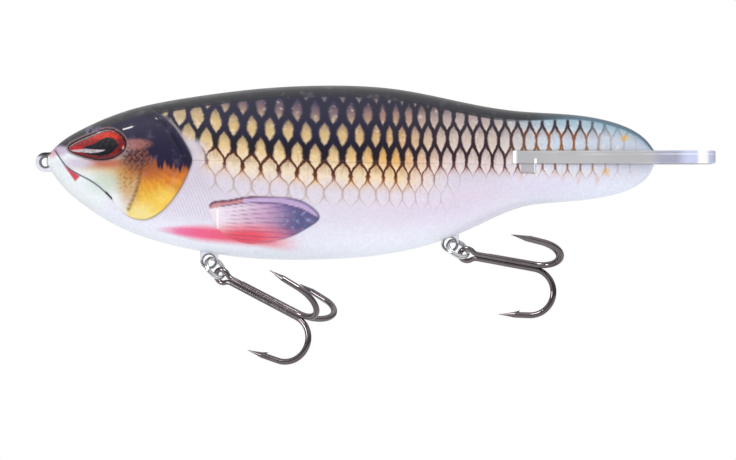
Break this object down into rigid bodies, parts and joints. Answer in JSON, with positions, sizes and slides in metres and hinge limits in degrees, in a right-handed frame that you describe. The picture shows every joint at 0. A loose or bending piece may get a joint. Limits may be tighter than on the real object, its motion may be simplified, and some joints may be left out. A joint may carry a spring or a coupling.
{
  "type": "swimbait",
  "caption": "Hard-bodied fish-shaped swimbait with a line-tie lug, a clear tail lip and treble hooks hung on split rings.",
  "frame": {"origin": "centre of the line-tie bore in the nose lug", "axes": "+X from nose to tail, +Z to the back of the fish, +Y to the fish's right side, along the line-tie bore"},
  "size_m": [0.1879, 0.034, 0.077],
  "materials": {
    "back_shell": "clear-coated printed fish skin, dark back over gold scales",
    "belly_shell": "clear-coated printed fish skin, pearl belly",
    "clear_lip": "clear polycarbonate",
    "eye_foil": "red holographic foil",
    "eye_lens": "clear domed resin",
    "bush_steel": "plain steel",
    "ballast_steel": "plain steel",
    "ring_steel": "bright polished steel",
    "hook_nickel": "black nickel"
  },
  "bodies": {
    "root": {"upper_shell": "back_shell", "lower_shell": "belly_shell", "tail_lip": "clear_lip", "left_eye_foil": "eye_foil", "right_eye_foil": "eye_foil", "left_eye_lens": "eye_lens", "right_eye_lens": "eye_lens", "line_tie_bush": "bush_steel", "front_hanger_bush": "bush_steel", "rear_hanger_bush": "bush_steel", "front_ballast": "ballast_steel", "middle_ballast": "ballast_steel", "rear_ballast": "ballast_steel"},
    "front_ring": {"front_split_ring": "ring_steel"},
    "front_treble": {"front_treble_pair": "hook_nickel", "front_treble_third": "hook_nickel"},
    "rear_ring": {"rear_split_ring": "ring_steel"},
    "rear_treble": {"rear_treble_pair": "hook_nickel", "rear_treble_third": "hook_nickel"}
  },
  "joints": [
    {"name": "front_ring_swing", "type": "hinge", "parent": "root", "child": "front_ring", "pos_m": [0.0453, 0, -0.0273], "axis": [0, 1, 0], "range_deg": [-8, 75]},
    {"name": "front_treble_swing", "type": "hinge", "parent": "front_ring", "child": "front_treble", "pos_m": [0.0489, 0, -0.03159], "axis": [0.4909, 0.8138, 0.311], "range_deg": [-6, 35]},
    {"name": "rear_ring_swing", "type": "hinge", "parent": "root", "child": "rear_ring", "pos_m": [0.112, 0, -0.0226], "axis": [0, 1, 0], "range_deg": [-8, 75]},
    {"name": "rear_treble_swing", "type": "hinge", "parent": "rear_ring", "child": "rear_treble", "pos_m": [0.1167, 0, -0.02565], "axis": [0.0868, 0.866, 0.4924], "range_deg": [-10, 30]}
  ]
}
